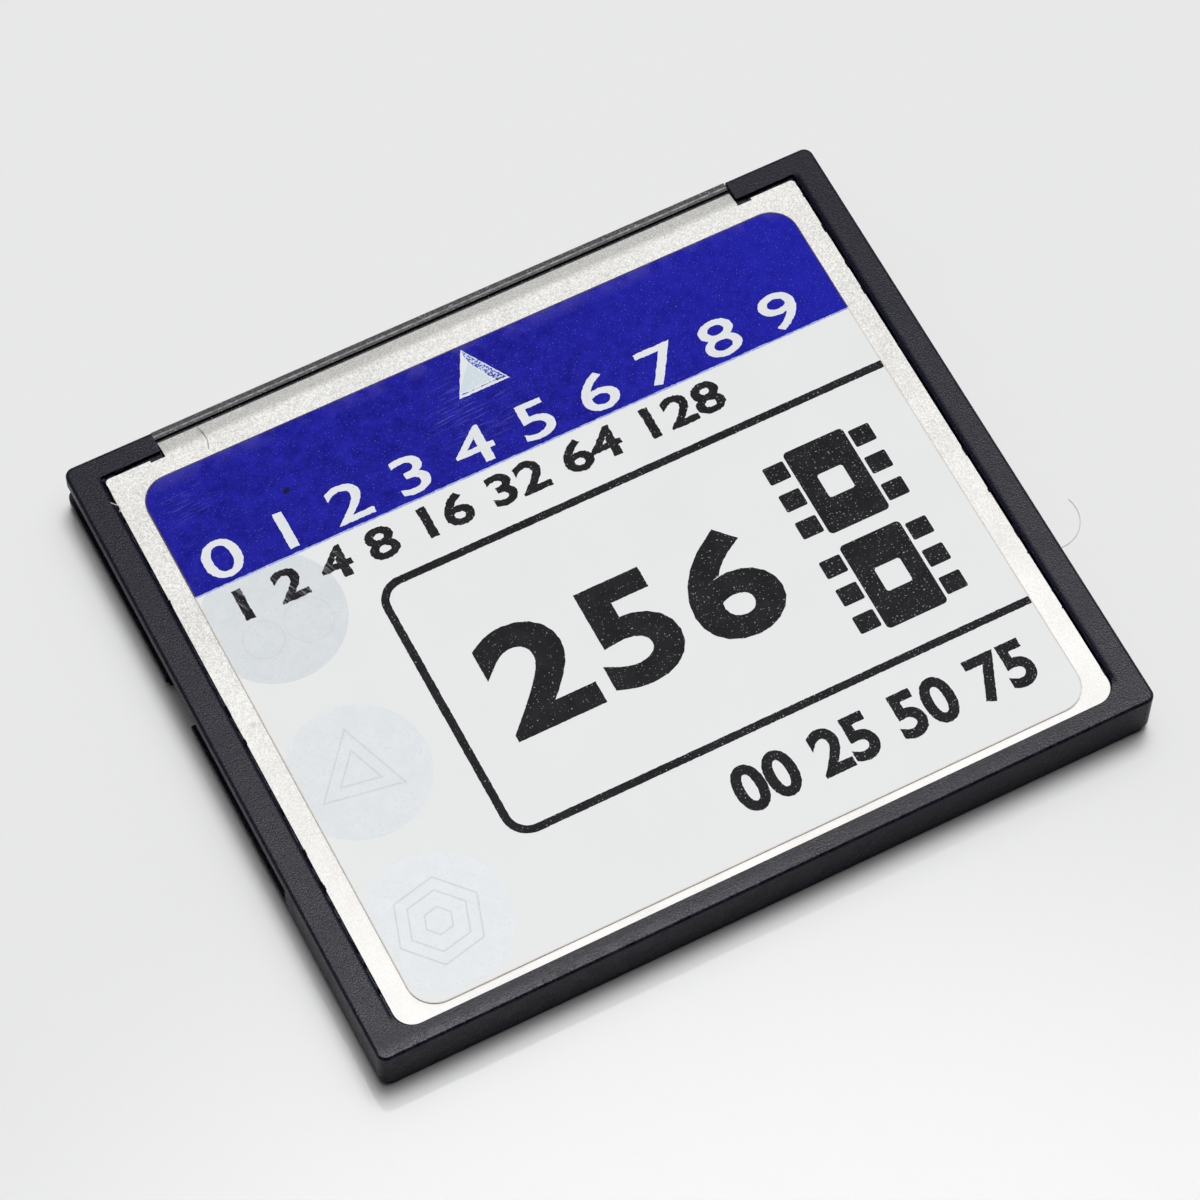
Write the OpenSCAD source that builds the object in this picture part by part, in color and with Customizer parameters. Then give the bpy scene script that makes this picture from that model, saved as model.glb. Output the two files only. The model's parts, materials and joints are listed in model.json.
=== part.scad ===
// Solid-state memory card, 42.8 by 36.4 by 3.3 millimetres, with a 50-way socket in its front edge.
// The card lies flat with its label up. +Y is the way it goes into its reader, so the socket is at +Y.
// The origin is at the middle of the underside.

/* [Card] */
// Width across the two guide slots
card_w = 42.8; // [42:0.1:46]
// Length from the back edge to the face of the socket
card_l = 36.4; // [36.2:0.1:40]
// Thickness with the label
card_h = 3.3; // [3.25:0.05:4]
// Radius of the four upright corners
corner_r = 0.5; // [0.3:0.05:0.8]
// Rounding of the top edge of the upper shell
top_round = 0.18; // [0.05:0.01:0.25]
// Rounding of the lower edge of each shell
low_round = 0.1; // [0.03:0.01:0.15]

/* [Shells] */
// Height of the parting line above the underside
parting_z = 0.48; // [0.42:0.02:0.6]
// How far the lower shell stands back at each side
side_setback = 0.2; // [0.05:0.01:0.25]
// How far the lower shell stands back at the back edge
back_setback = 0.06; // [0.02:0.01:0.2]
// How far the front of both shells stands behind the face of the socket
front_setback = 0.12; // [0.02:0.01:0.3]
// Thickness of the side walls round the inside of the card
side_wall = 2.2; // [2:0.05:2.4]
// Thickness of the back wall round the inside of the card
back_wall = 1.65; // [1.5:0.05:2]
// Depth of the corner blocks beside the socket
block_depth = 1.55; // [1.3:0.05:1.9]
// Width of the side rails seen beside the top cover
rail_w = 1.53; // [1.3:0.01:1.7]
// Width of the back bar seen behind the top cover
bar_w = 1; // [0.8:0.05:1.2]
// Depth of the corner blocks seen in front of the top cover
brow_w = 1.2; // [0.8:0.05:1.25]
// Width of the rim that joins the shells
rim_w = 0.4; // [0.3:0.05:0.5]
// Height of the rim above the parting line
rim_h = 0.5; // [0.3:0.05:0.6]
// Clearance round the rim
rim_gap = 0.05; // [0.02:0.01:0.1]

/* [Guide slots] */
// Depth of each guide slot
slot_depth = 0.57; // [0.4:0.01:0.7]
// Length of the guide slots from the face of the socket
slot_len = 25.78; // [22:0.01:28]
// Height of the left slot's floor above the underside
left_slot_z = 1.01; // [0.9:0.01:1.2]
// Height of the left slot
left_slot_h = 1.43; // [1.2:0.01:1.5]
// Height of the right slot's floor above the underside
right_slot_z = 0.76; // [0.7:0.01:0.85]
// Height of the right slot
right_slot_h = 1.39; // [1.2:0.01:1.5]
// Distance from the face of the socket to the notch in each lower lip
notch_at = 12; // [10:0.5:14]
// Length of the notch
notch_len = 3; // [2:0.1:4]

/* [Covers] */
// Thickness of the steel covers
cover_t = 0.2; // [0.15:0.01:0.2]
// Radius of the covers' back corners
cover_r = 1; // [0.5:0.05:1.5]
// Gap between a cover and the rails beside it
cover_side_gap = 0.14; // [0.02:0.01:0.2]
// Gap between a cover and the back bar
cover_back_gap = 0.04; // [0.02:0.01:0.1]
// Gap between a cover's shoulders and the corner blocks
cover_front_gap = 0.26; // [0.05:0.01:0.3]
// How far the bottom cover lies above the underside
cover_recess = 0.05; // [0.02:0.01:0.08]
// Outer radius of the bend before each front lip
bend_r = 1.6; // [1:0.1:1.8]
// Angle by which the front lips slope into the card
lip_angle = 14; // [8:1:15]
// Length of the straight part of the front lips
lip_len = 0.6; // [0.4:0.05:0.7]
// Width of the relief cut at each end of a lip
relief_w = 0.8; // [0.3:0.05:1]
// Least depth of the relief cut
relief_d = 0.1; // [0.05:0.01:0.5]
// Radius of the covers' outer front corners
shoulder_r = 0.25; // [0.1:0.05:0.5]

/* [Label] */
// Thickness of the label
label_t = 0.06; // [0.04:0.01:0.1]
// Radius of the label's corners
label_r = 1.5; // [0.5:0.1:3]
// Steel left bare at each side of the label
label_side = 1.18; // [0.5:0.01:3]
// Steel left bare behind the label
label_back = 0.41; // [0.2:0.01:2]
// Steel left bare between the label and the front of the cover's shoulders
label_front = 1.12; // [0.5:0.01:4]

/* [Socket] */
// Width of the socket past the middle of its last contact at each end
socket_end = 1.21; // [0.8:0.01:1.4]
// Depth of the socket
socket_d = 8.2; // [7.6:0.1:9]
// Clearance between the socket and what lies round it
socket_gap = 0.05; // [0.02:0.01:0.1]
// Height of the middle between the two rows above the underside
socket_mid_z = 1.6; // [1.57:0.01:1.7]
// Distance between contacts along a row and between the rows
pitch = 1.27; // [1.24:0.01:1.27]
// Contacts in each row
row_count = 25; // [20:1:25]
// Width of each square contact hole
hole_w = 0.6; // [0.55:0.01:0.62]
// Depth of the lead-in round each hole
lead_in = 0.2; // [0.1:0.05:0.3]
// Thickness of the front bar over the socket, front to back
bar_d = 0.48; // [0.4:0.02:0.55]
// How far the front bar stands below the top of the card
bar_drop = 0.25; // [0.2:0.01:0.3]
// Width of the shallow bevel along the inner edge of the front bar
bevel_w = 0.12; // [0.05:0.01:0.16]
// Drop of that bevel
bevel_drop = 0.03; // [0.01:0.01:0.05]
// Chamfer along the face of the front bar
bar_chamfer = 0.05; // [0.03:0.01:0.1]
// Clearance between the ears of the socket and the side walls
ear_gap = 0.6; // [0.5:0.05:1]
// Length of the ears, front to back
ear_l = 3.5; // [2.5:0.1:4]
// Height of the ears
ear_h = 1.8; // [1.4:0.1:2]

/* [Contacts] */
// Length of the square root that fills the hole
root_l = 1.4; // [1:0.1:1.8]
// Distance from the back of the socket to the root
root_in = 0.2; // [0.1:0.05:0.5]
// Length of the two spring arms
arm_l = 4.4; // [3.5:0.1:4.8]
// Thickness of each arm
arm_t = 0.11; // [0.08:0.01:0.13]
// Height of the arms
arm_h = 0.4; // [0.3:0.02:0.5]
// Gap between the arms at their tips
tip_gap = 0.16; // [0.1:0.01:0.2]
// Width of the soldered tail
tail_w = 0.32; // [0.25:0.01:0.4]
// Thickness of the soldered tail
tail_t = 0.15; // [0.1:0.01:0.18]

/* [Circuit board] */
// Clearance between the circuit board and each side wall
board_side_gap = 0.7; // [0.6:0.05:1]
// Thickness of the circuit board
board_t = 0.6; // [0.56:0.02:0.62]
// Distance from the socket to the board
board_gap = 0.6; // [0.4:0.05:1]
// Clearance between the board and the back wall
board_back_gap = 0.35; // [0.2:0.05:0.5]
// Length of the solder pads
pad_l = 1.8; // [1.4:0.1:2.2]
// Width of the solder pads
pad_w = 0.7; // [0.5:0.05:0.85]
// Thickness of the solder pads
pad_t = 0.04; // [0.02:0.01:0.05]
// Width of the notches in the sides of the board
bay_w = 1.6; // [1.2:0.1:2.5]
// Depth of the notches in the sides of the board
bay_d = 0.6; // [0.4:0.05:0.8]
// Clearance between the lower shell's key and the notch that it fills
bay_gap = 0.05; // [0.02:0.01:0.1]
// Length of the posts that hold the board, front to back
post_l = 1.6; // [1:0.1:2]
// How far the posts reach under the board
post_reach = 0.7; // [0.4:0.05:0.8]

/* [Chips] */
// Clearance under the chips
chip_lift = 0.05; // [0.02:0.01:0.08]
// Thickness of the chips
chip_t = 0.9; // [0.8:0.01:0.92]
// Side of the square controller
control_w = 14; // [12:0.1:14]
// Leads on each side of the controller
control_leads = 20; // [12:1:20]
// Distance between the controller's leads
control_pitch = 0.65; // [0.5:0.05:0.65]
// Length of a memory chip without its leads
memory_l = 15.4; // [14:0.1:18.4]
// Width of a memory chip
memory_w = 12; // [10:0.1:13]
// Leads at each end of a memory chip
memory_leads = 24; // [16:1:24]
// Distance between a memory chip's leads
memory_pitch = 0.5; // [0.4:0.01:0.5]
// How far the leads reach from a chip
lead_out = 0.8; // [0.6:0.05:1]
// Length of the leads' feet
lead_foot = 0.35; // [0.2:0.01:0.4]
// Length of the level stretch where a lead leaves its chip
lead_shoulder = 0.18; // [0.12:0.01:0.25]
// Thickness of the leads
lead_t = 0.12; // [0.08:0.01:0.15]
// Width of the leads
lead_w = 0.22; // [0.15:0.01:0.28]
// Slope of a chip's sides, as an inset at its top and bottom
chip_draft = 0.08; // [0.02:0.01:0.15]
// Width of the chamfered first corner of a chip
chip_key = 0.5; // [0.2:0.1:1]
// Free strip round the edge of the board
edge_strip = 1; // [0.8:0.1:1.2]
// Space between the chips
chip_space = 2; // [1.2:0.1:3]

/* [Small components] */
// Length of a capacitor
cap_l = 1.6; // [1:0.1:2]
// Width of a capacitor
cap_w = 0.8; // [0.5:0.05:1]
// Height of a capacitor
cap_h = 0.7; // [0.4:0.05:0.8]
// Free strip on both sides of the row of capacitors
cap_strip = 0.6; // [0.4:0.05:1]
// Gap between the capacitors
cap_space = 1.4; // [0.6:0.1:2]
// Capacitors in the row
cap_count = 7; // [4:1:7]
// Length of a resistor
res_l = 1; // [0.8:0.1:1.6]
// Width of a resistor
res_w = 0.5; // [0.4:0.05:0.8]
// Height of a resistor
res_h = 0.35; // [0.25:0.05:0.5]
// Gap between the resistors
res_space = 1.4; // [0.6:0.1:2]
// Resistors in the column
res_count = 7; // [3:1:7]
// Length of a metal end on a capacitor or resistor
end_l = 0.25; // [0.15:0.05:0.3]
// Length of the crystal
crystal_l = 3.2; // [2.5:0.1:4]
// Width of the crystal
crystal_w = 2.5; // [2:0.1:2.6]
// Height of the crystal
crystal_h = 0.8; // [0.6:0.05:0.9]
// Height of the crystal's ceramic base
base_h = 0.3; // [0.2:0.05:0.4]
// Ledge of the base seen round the can
base_ledge = 0.2; // [0.1:0.05:0.4]
// Length of the regulator
regulator_l = 2.9; // [2.5:0.1:3.2]
// Width of the regulator
regulator_w = 1.3; // [1.1:0.1:1.6]
// Height of the regulator
regulator_h = 0.8; // [0.6:0.05:0.9]
// Distance between the regulator's leads
regulator_pitch = 0.95; // [0.8:0.05:1]

/* [Hidden] */
$fn = 48;
// Overshoot of every cut
eps = 0.5;
// Flat steps that make up the round bend of a cover
bend_steps = 6;
// Length of a front lip's level root, which lies inside the plate
lip_root = 0.5;
// How far along an arm its parallel tip begins, as a share of its length
arm_knee = 0.85;
// Flare of an arm's tip, as a share of its thickness
arm_flare = 0.6;

front_y = card_l / 2;
back_y = -card_l / 2;
shell_front = front_y - front_setback;
shell_l = shell_front - back_y;
shell_mid = (shell_front + back_y) / 2;
lower_w = card_w - 2 * side_setback;
lower_back = back_y + back_setback;
lower_mid = (shell_front + lower_back) / 2;

// Socket
socket_w = (row_count - 1) * pitch + 2 * socket_end;
row_z = pitch / 2;

// Inside of the card
inner_x = card_w / 2 - side_wall;
inner_back = back_y + back_wall;
inner_front = shell_front - block_depth;

// Covers
top_face = card_h - label_t;
top_under = top_face - cover_t;
low_top = cover_recess + cover_t;
open_x = card_w / 2 - rail_w;
open_back = back_y + bar_w;
open_front = shell_front - brow_w;
cover_x = open_x - cover_side_gap;
cover_back = open_back + cover_back_gap;
shoulder_y = open_front - cover_front_gap;
tongue_x = socket_w / 2 - socket_gap;
lip_drop = bend_r * (1 - cos(lip_angle)) + lip_len * sin(lip_angle);
lip_reach = bend_r * sin(lip_angle) + lip_len * cos(lip_angle);
tongue_front = front_y - bar_d - cover_front_gap;
bend_y = tongue_front - lip_reach;
relief_y = min(bend_y, shoulder_y - relief_d);

// Label
label_x = cover_x - label_side;
label_y0 = cover_back + label_back;
label_y1 = shoulder_y - label_front;

// Board
board_w = 2 * (inner_x - board_side_gap);
board_front = front_y - socket_d - board_gap;
board_back = inner_back + board_back_gap;
board_top = socket_mid_z + board_t / 2;
board_low = socket_mid_z - board_t / 2;
post_in = board_w / 2 - post_reach;
post_front_y = board_front - post_l - pad_l;
post_back_y = board_back + edge_strip / 2;

// Chips
control_span = control_w + 2 * lead_out;
control_x = -board_w / 2 + edge_strip + control_span / 2;
front_strip = pad_l + 2 * cap_strip + cap_l;
control_y = board_front - front_strip - control_span / 2;
memory_span = memory_l + 2 * lead_out;
memory_x = control_x + control_span / 2 + chip_space + memory_w / 2;
memory_y = board_back + edge_strip + memory_span / 2;
lead_z = chip_lift + chip_t / 2;

// Small components
cap_y = board_front - pad_l - cap_strip - cap_l / 2;
cap_pitch = cap_w + cap_space;
res_pitch = res_w + res_space;
group_offset = control_w / 4;

// Rectangle between two corners
module field(x0, y0, x1, y1) {
    translate([x0, y0]) square([x1 - x0, y1 - y0]);
}

// Box between two corners
module box(x0, y0, z0, x1, y1, z1) {
    translate([x0, y0, z0]) cube([x1 - x0, y1 - y0, z1 - z0]);
}

// Keeps a shape and adds its mirror image across the middle of the card
module both_sides() {
    children();
    mirror([1, 0, 0]) children();
}

// Half section of a block's edge: square inside, rounded above and below outside
module edge_section(r, h, top, low) {
    difference() {
        square([r, h]);
        translate([r - top, h - top]) difference() {
            square(top + eps);
            circle(top);
        }
        translate([r - low, low]) mirror([0, 1]) difference() {
            square(low + eps);
            circle(low);
        }
    }
}

// Block with round upright corners and rounded top and lower edges, centred on the origin
module rounded_block(w, l, h, r, top, low) {
    x = w / 2 - r;
    y = l / 2 - r;
    union() {
        box(-x, -y, 0, x, y, h);
        for (sx = [-1, 1], sy = [-1, 1])
            translate([sx * x, sy * y, 0]) rotate_extrude() edge_section(r, h, top, low);
        for (flip = [0, 1]) {
            mirror([0, flip, 0]) translate([-x, y, 0]) rotate([90, 0, 90])
                linear_extrude(2 * x) edge_section(r, h, top, low);
            mirror([flip, 0, 0]) translate([x, y, 0]) rotate([90, 0, 0])
                linear_extrude(2 * y) edge_section(r, h, top, low);
        }
    }
}

// Rectangle with one radius at its back corners and another at its front corners
module plate_outline(half_w, y0, y1, r_back, r_front) {
    union() {
        field(-half_w + r_back, y0, half_w - r_back, y1 - r_front);
        field(-half_w, y0 + r_back, half_w, y1 - r_front);
        field(-half_w + r_front, y0 + r_back, half_w - r_front, y1);
        for (s = [-1, 1]) {
            translate([s * (half_w - r_back), y0 + r_back]) circle(r_back);
            translate([s * (half_w - r_front), y1 - r_front]) circle(r_front);
        }
    }
}

// Hole in a shell that takes a cover, open to the front between the corner blocks
module cover_opening() {
    plate_outline(open_x, open_back, open_front, cover_r + cover_side_gap, shoulder_r / 2);
    field(-socket_w / 2 - socket_gap, inner_front, socket_w / 2 + socket_gap, front_y + eps);
}

// Guide slot and the notch in its lower lip, cut into the side at +X
module slot_cut(z0, h) {
    x0 = card_w / 2 - slot_depth;
    x1 = card_w / 2 + eps;
    box(x0, front_y - slot_len, z0, x1, front_y + eps, z0 + h);
    box(x0, front_y - notch_at - notch_len, -eps, x1, front_y - notch_at, z0 + h);
}

// Both guide slots, which differ in height so that the card goes in one way up
module guide_slots() {
    slot_cut(right_slot_z, right_slot_h);
    mirror([1, 0, 0]) slot_cut(left_slot_z, left_slot_h);
}

// Room inside the shells, from the back wall to the corner blocks, with the mouth for the socket
module inside(z0, z1, x, y0) {
    box(-x, y0, z0, x, inner_front, z1);
    box(-socket_w / 2 - socket_gap, y0, z0, socket_w / 2 + socket_gap, front_y + eps, z1);
}

// One post beside the board, from the wall to under or over the board's edge
module post(y, z0, z1) {
    box(post_in, y, z0, inner_x - rim_gap, y + post_l, z1);
}

// Black moulding with the side walls, the back wall and the corner blocks
module upper_shell() {
    stop_y = inner_front - ear_l - 2 * socket_gap;
    stop_x = socket_w / 2 + socket_gap;
    color("#2b2b2e") union() {
        difference() {
            translate([0, shell_mid, parting_z])
                rounded_block(card_w, shell_l, card_h - parting_z, corner_r, top_round, low_round);
            inside(-eps, top_under, inner_x, inner_back);
            translate([0, 0, top_under]) linear_extrude(card_h) cover_opening();
            guide_slots();
        }
        both_sides() {
            box(post_in, post_front_y, board_top, inner_x, post_front_y + post_l, top_under);
            box(post_in, post_back_y, board_top, inner_x, post_back_y + post_l, top_under);
            box(stop_x, stop_y - rim_w, parting_z + rim_h + rim_gap, inner_x, stop_y, top_under);
        }
    }
}

// Black moulding round the bottom cover, with the rim and the posts under the board
module lower_shell() {
    rim_x = inner_x - rim_gap;
    rim_y = inner_back + rim_gap;
    rim_front = inner_front - rim_gap;
    rim_top = parting_z + rim_h;
    color("#262629") union() {
        difference() {
            translate([0, lower_mid, 0])
                rounded_block(lower_w, shell_front - lower_back, parting_z, corner_r, low_round / 2, low_round);
            translate([0, 0, -card_h + low_top]) linear_extrude(card_h) cover_opening();
            inside(low_top, parting_z + eps, rim_x - rim_w, rim_y + rim_w);
            guide_slots();
        }
        difference() {
            box(-rim_x, rim_y, parting_z - rim_gap, rim_x, rim_front, rim_top);
            box(-rim_x + rim_w, rim_y + rim_w, -eps, rim_x - rim_w, front_y, card_h);
        }
        both_sides() {
            post(post_front_y, low_top, board_low);
            post(post_back_y, low_top, board_low);
            box(board_w / 2 - bay_d + bay_gap, -bay_w / 2 + bay_gap, low_top,
                rim_x, bay_w / 2 - bay_gap, board_top - bay_gap);
        }
    }
}

// Outline of a cover as far as its bend: shoulders beside a tongue, with a relief cut at each end
module cover_outline() {
    difference() {
        plate_outline(cover_x, cover_back, shoulder_y, cover_r, shoulder_r);
        field(-tongue_x - relief_w, relief_y, tongue_x + relief_w, front_y);
    }
    field(-tongue_x, 0, tongue_x, bend_y);
}

// Point at an angle on a bend's arc, seen from the side
function on_bend(r, angle) = [bend_y + r * sin(angle), cover_t - bend_r + r * cos(angle)];

// Point at the end of a front lip, seen from the side
function lip_end(r) = on_bend(r, lip_angle) + lip_len * [cos(lip_angle), -sin(lip_angle)];

// Side view of a front lip: a level root inside the plate, a bend, then a straight slope
module lip_section() {
    inner_r = bend_r - cover_t;
    polygon(concat(
        [[bend_y - lip_root, 0], [bend_y - lip_root, cover_t]],
        [for (i = [0 : bend_steps]) on_bend(bend_r, lip_angle * i / bend_steps)],
        [lip_end(bend_r), lip_end(inner_r)],
        [for (i = [0 : bend_steps]) on_bend(inner_r, lip_angle * (1 - i / bend_steps))]
    ));
}

// Steel cover with its front lip bent towards the inside, lying with its outer face up
module cover() {
    union() {
        linear_extrude(cover_t) cover_outline();
        translate([-tongue_x, 0, 0]) rotate([90, 0, 90]) linear_extrude(2 * tongue_x) lip_section();
    }
}

module top_cover() {
    color("#c9c7c2") translate([0, 0, top_under]) cover();
}

module bottom_cover() {
    color("#c4c2bd") translate([0, 0, low_top]) mirror([0, 0, 1]) cover();
}

// Glossy film on the top cover
module label() {
    color("#e8ebec") translate([0, 0, top_face]) linear_extrude(label_t)
        plate_outline(label_x, label_y0, label_y1, label_r, label_r);
}

// Side view of the socket: full height at the back, a step for each cover's lip, a bar at the front
module socket_section() {
    y0 = front_y - socket_d;
    step_y = bend_y - cover_front_gap;
    top = top_under - socket_gap;
    low = low_top + socket_gap;
    top_step = top - lip_drop;
    low_step = low + lip_drop;
    bar_y = front_y - bar_d;
    bar_top = card_h - bar_drop;
    bar_low = bar_drop;
    polygon([
        [y0, low], [step_y, low], [step_y, low_step], [bar_y, low_step], [bar_y, bar_low + bevel_drop],
        [bar_y + bevel_w, bar_low], [front_y - bar_chamfer, bar_low], [front_y, bar_low + bar_chamfer],
        [front_y, bar_top - bar_chamfer], [front_y - bar_chamfer, bar_top], [bar_y + bevel_w, bar_top],
        [bar_y, bar_top - bevel_drop], [bar_y, top_step], [step_y, top_step], [step_y, top], [y0, top]
    ]);
}

// Middle of each contact along its row
function contact_x(i) = (i - (row_count - 1) / 2) * pitch;

// Square hole through the socket with a wider mouth
module contact_hole() {
    w = hole_w / 2;
    box(-w, front_y - socket_d - eps, -w, w, front_y + eps, w);
    m = w + lead_in / 2;
    box(-m, front_y - lead_in, -m, m, front_y + eps, m);
}

// Black moulding that holds the contacts, with an ear at each end behind the corner blocks
module socket_housing() {
    ear_x = inner_x - ear_gap;
    ear_y = inner_front - socket_gap;
    color("#3a3a3d") difference() {
        union() {
            translate([-socket_w / 2, 0, 0]) rotate([90, 0, 90]) linear_extrude(socket_w) socket_section();
            box(-ear_x, ear_y - ear_l, socket_mid_z - ear_h / 2, ear_x, ear_y, socket_mid_z + ear_h / 2);
        }
        for (i = [0 : row_count - 1], s = [-1, 1])
            translate([contact_x(i), 0, socket_mid_z + s * row_z]) contact_hole();
    }
}

// Plan of the two spring arms, which lean together towards their tips
module arms_plan() {
    y0 = front_y - socket_d + root_in + root_l;
    x0 = hole_w / 2 - arm_t / 2;
    x1 = tip_gap / 2;
    x2 = x1 + arm_flare * arm_t;
    knee_y = y0 + arm_l * arm_knee;
    tip_y = y0 + arm_l;
    for (flip = [0, 1]) mirror([flip, 0]) polygon([
        [x0 - arm_t, y0], [x0, y0], [x1 + arm_t, knee_y], [x2 + arm_t, tip_y], [x2, tip_y], [x1, knee_y]
    ]);
}

// One socket contact of the upper row: root, spring arms and the tail soldered to the board
module contact() {
    y0 = front_y - socket_d + root_in;
    w = hole_w / 2;
    tail_z = board_t / 2 + pad_t - row_z;
    box(-w, y0, -w, w, y0 + root_l, w);
    translate([0, 0, -arm_h / 2]) linear_extrude(arm_h) arms_plan();
    box(-tail_w / 2, board_front - pad_l + tail_w / 2, tail_z, tail_w / 2, y0, tail_z + tail_t);
}

// Row of contacts on the upper side of the middle
module contact_row() {
    for (i = [0 : row_count - 1]) translate([contact_x(i), 0, row_z]) contact();
}

module upper_contacts() {
    color("#c9a552") translate([0, 0, socket_mid_z]) contact_row();
}

module lower_contacts() {
    color("#c9a552") translate([0, 0, socket_mid_z]) mirror([0, 0, 1]) contact_row();
}

// Board with a notch in each side for the shell's key
module circuit_board() {
    color("#1f5c3a") difference() {
        box(-board_w / 2, board_back, board_low, board_w / 2, board_front, board_top);
        both_sides() box(board_w / 2 - bay_d, -bay_w / 2, 0, board_w, bay_w / 2, card_h);
    }
}

// Row of solder pads for the contacts' tails, on the upper side of the board
module pad_row() {
    for (i = [0 : row_count - 1]) translate([contact_x(i), 0, 0])
        box(-pad_w / 2, board_front - pad_l, board_t / 2, pad_w / 2, board_front, board_t / 2 + pad_t);
}

module upper_pads() {
    color("#d9b45a") translate([0, 0, socket_mid_z]) pad_row();
}

module lower_pads() {
    color("#d9b45a") translate([0, 0, socket_mid_z]) mirror([0, 0, 1]) pad_row();
}

// Side view of a moulded chip: sloping faces above and below an upright band as high as a lead
module chip_section(w) {
    band = lead_t / 2;
    polygon([
        [-w / 2 + chip_draft, -chip_t / 2], [w / 2 - chip_draft, -chip_t / 2], [w / 2, -band], [w / 2, band],
        [w / 2 - chip_draft, chip_t / 2], [-w / 2 + chip_draft, chip_t / 2], [-w / 2, band], [-w / 2, -band]
    ]);
}

// Moulded chip body with its first corner chamfered, centred over the origin on a board at z = 0
module chip_body(w, l) {
    translate([0, 0, lead_z]) difference() {
        intersection() {
            translate([0, l / 2, 0]) rotate([90, 0, 0]) linear_extrude(l) chip_section(w);
            translate([-w / 2, 0, 0]) rotate([90, 0, 90]) linear_extrude(w) chip_section(l);
        }
        translate([-w / 2, l / 2, chip_t / 2]) rotate([0, 0, 45])
            cube([chip_key, chip_key, chip_t], center = true);
    }
}

// Side view of a gull-wing lead, from the chip's side at x = 0 down to its foot on z = 0
module lead_section(height) {
    half = lead_t / 2;
    knee = lead_out - lead_foot;
    polygon([
        [0, height - half], [0, height + half], [lead_shoulder, height + half], [knee, lead_t],
        [lead_out, lead_t], [lead_out, 0], [knee - half, 0], [lead_shoulder - half, height - half]
    ]);
}

// Leads along the side at +Y of a chip
module lead_row(count, step, y, height) {
    for (i = [0 : count - 1])
        translate([(i - (count - 1) / 2) * step - lead_w / 2, y, 0]) rotate([90, 0, 90])
            linear_extrude(lead_w) lead_section(height);
}

// Leads at both ends of a memory chip
module memory_lead_rows() {
    for (flip = [0, 1]) mirror([0, flip, 0]) lead_row(memory_leads, memory_pitch, memory_l / 2, lead_z);
}

// Puts a piece made on z = 0 onto the upper side of the board
module on_board(x, y) {
    translate([x, y, board_top]) children();
}

// Puts a piece made on z = 0 onto the underside of the board
module under_board(x, y) {
    translate([x, y, board_low]) mirror([0, 0, 1]) children();
}

module controller_body() {
    color("#1c1c1e") on_board(control_x, control_y) chip_body(control_w, control_w);
}

module controller_leads() {
    color("#b9b9b6") on_board(control_x, control_y) for (turn = [0 : 3])
        rotate([0, 0, 90 * turn]) lead_row(control_leads, control_pitch, control_w / 2, lead_z);
}

module upper_memory_body() {
    color("#1c1c1e") on_board(memory_x, memory_y) chip_body(memory_w, memory_l);
}

module upper_memory_leads() {
    color("#b9b9b6") on_board(memory_x, memory_y) memory_lead_rows();
}

module lower_memory_body() {
    color("#1c1c1e") under_board(memory_x, memory_y) chip_body(memory_w, memory_l);
}

module lower_memory_leads() {
    color("#b9b9b6") under_board(memory_x, memory_y) memory_lead_rows();
}

// Ceramic middle of a capacitor or resistor, lying along Y
module component_middle(l, w, h) {
    box(-w / 2, -l / 2 + end_l, 0, w / 2, l / 2 - end_l, h);
}

// Metal ends of a capacitor or resistor
module component_ends(l, w, h) {
    for (flip = [0, 1]) mirror([0, flip, 0]) box(-w / 2, l / 2 - end_l, 0, w / 2, l / 2, h);
}

// Row of capacitors between the controller and the pads
module cap_sites() {
    for (i = [0 : cap_count - 1])
        on_board(control_x + (i - (cap_count - 1) / 2) * cap_pitch, cap_y) children();
}

// Column of resistors under the controller
module res_sites() {
    for (i = [0 : res_count - 1])
        under_board(control_x + group_offset, control_y + (i - (res_count - 1) / 2) * res_pitch)
            rotate([0, 0, 90]) children();
}

// Place of the crystal under the controller
module crystal_site() {
    under_board(control_x - group_offset, control_y + group_offset) children();
}

// Place of the regulator under the controller
module regulator_site() {
    under_board(control_x - group_offset, control_y - group_offset) children();
}

module capacitor_bodies() {
    color("#9c7a52") cap_sites() component_middle(cap_l, cap_w, cap_h);
}

module capacitor_ends() {
    color("#c8c8c4") cap_sites() component_ends(cap_l, cap_w, cap_h);
}

module resistor_bodies() {
    color("#222226") res_sites() component_middle(res_l, res_w, res_h);
}

module resistor_ends() {
    color("#c8c8c4") res_sites() component_ends(res_l, res_w, res_h);
}

module crystal_base() {
    color("#4a3f36") crystal_site()
        box(-crystal_l / 2, -crystal_w / 2, 0, crystal_l / 2, crystal_w / 2, base_h);
}

module crystal_can() {
    color("#c2c2bd") crystal_site()
        box(-crystal_l / 2 + base_ledge, -crystal_w / 2 + base_ledge, base_h,
            crystal_l / 2 - base_ledge, crystal_w / 2 - base_ledge, crystal_h);
}

module regulator_body() {
    color("#1c1c1e") regulator_site()
        box(-regulator_l / 2, -regulator_w / 2, chip_lift, regulator_l / 2, regulator_w / 2, regulator_h);
}

// Two leads on one side of the regulator and one on the other
module regulator_leads() {
    color("#b9b9b6") regulator_site() {
        lead_row(2, 2 * regulator_pitch, regulator_w / 2, regulator_h / 2);
        mirror([0, 1, 0]) lead_row(1, regulator_pitch, regulator_w / 2, regulator_h / 2);
    }
}

upper_shell();
lower_shell();
top_cover();
bottom_cover();
label();
socket_housing();
upper_contacts();
lower_contacts();
circuit_board();
upper_pads();
lower_pads();
controller_body();
controller_leads();
upper_memory_body();
upper_memory_leads();
lower_memory_body();
lower_memory_leads();
capacitor_bodies();
capacitor_ends();
resistor_bodies();
resistor_ends();
crystal_base();
crystal_can();
regulator_body();
regulator_leads();
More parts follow.
